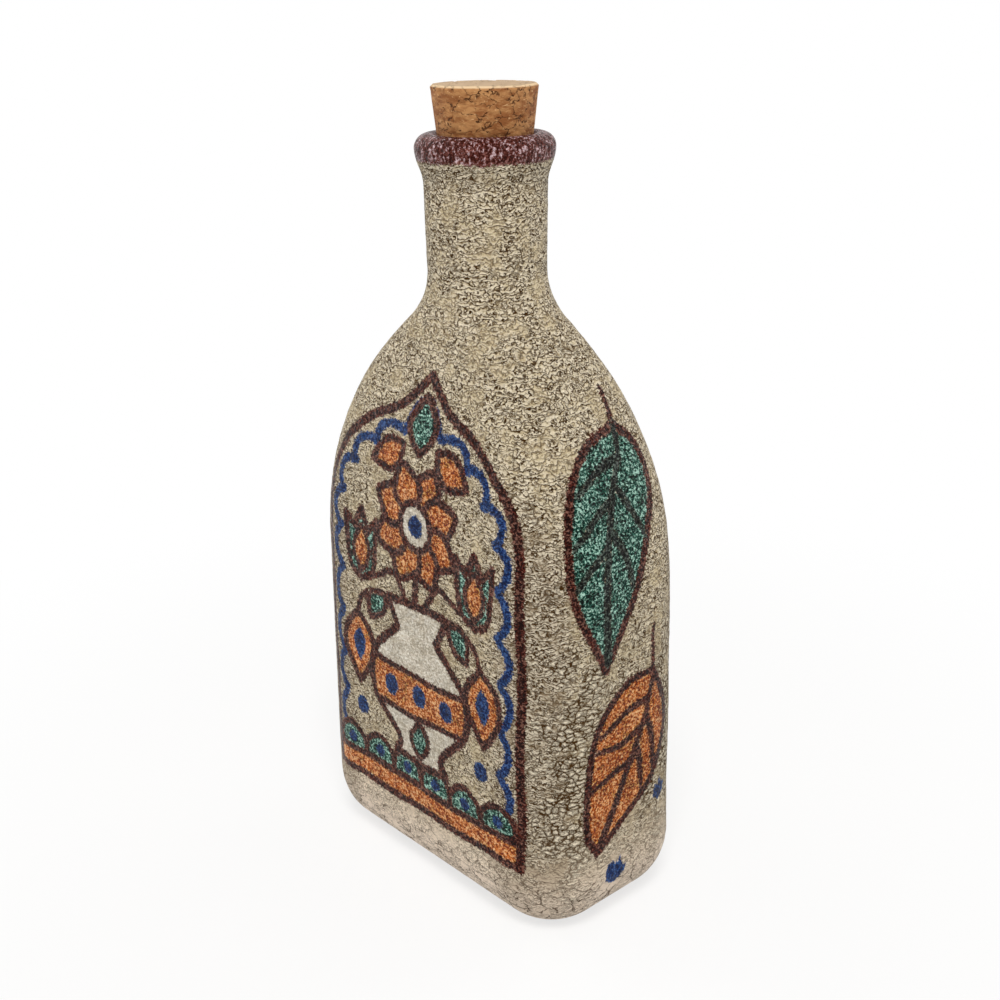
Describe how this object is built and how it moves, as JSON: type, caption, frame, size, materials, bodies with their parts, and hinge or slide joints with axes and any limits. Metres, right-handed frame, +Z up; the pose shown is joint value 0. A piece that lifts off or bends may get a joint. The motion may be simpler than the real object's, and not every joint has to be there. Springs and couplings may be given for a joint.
{
  "type": "ceramic bottle with cork",
  "caption": "Flat flask-shaped glazed stoneware bottle with a rolled lip, closed by a tapered cork that pulls out of its mouth.",
  "frame": {"origin": "on the surface the bottle stands on, under the middle of its foot", "axes": "+Z up along the neck and the cork's pull, X along the body's width, the main painted face looks along -Y and one narrow side along +X"},
  "size_m": [0.1028, 0.0568, 0.2166],
  "materials": {
    "glazed_stoneware": "satin cream crackle glaze with painted coloured glazes and a glossy brown lip",
    "agglomerated_cork": "matte sanded cork"
  },
  "bodies": {
    "bottle": {"bottle_body": "glazed_stoneware"},
    "cork": {"cork_stopper": "agglomerated_cork"}
  },
  "joints": [
    {"name": "cork_pull", "type": "slide", "parent": "bottle", "child": "cork", "axis": [0, 0, 1], "range_m": [0, 0.06]}
  ]
}
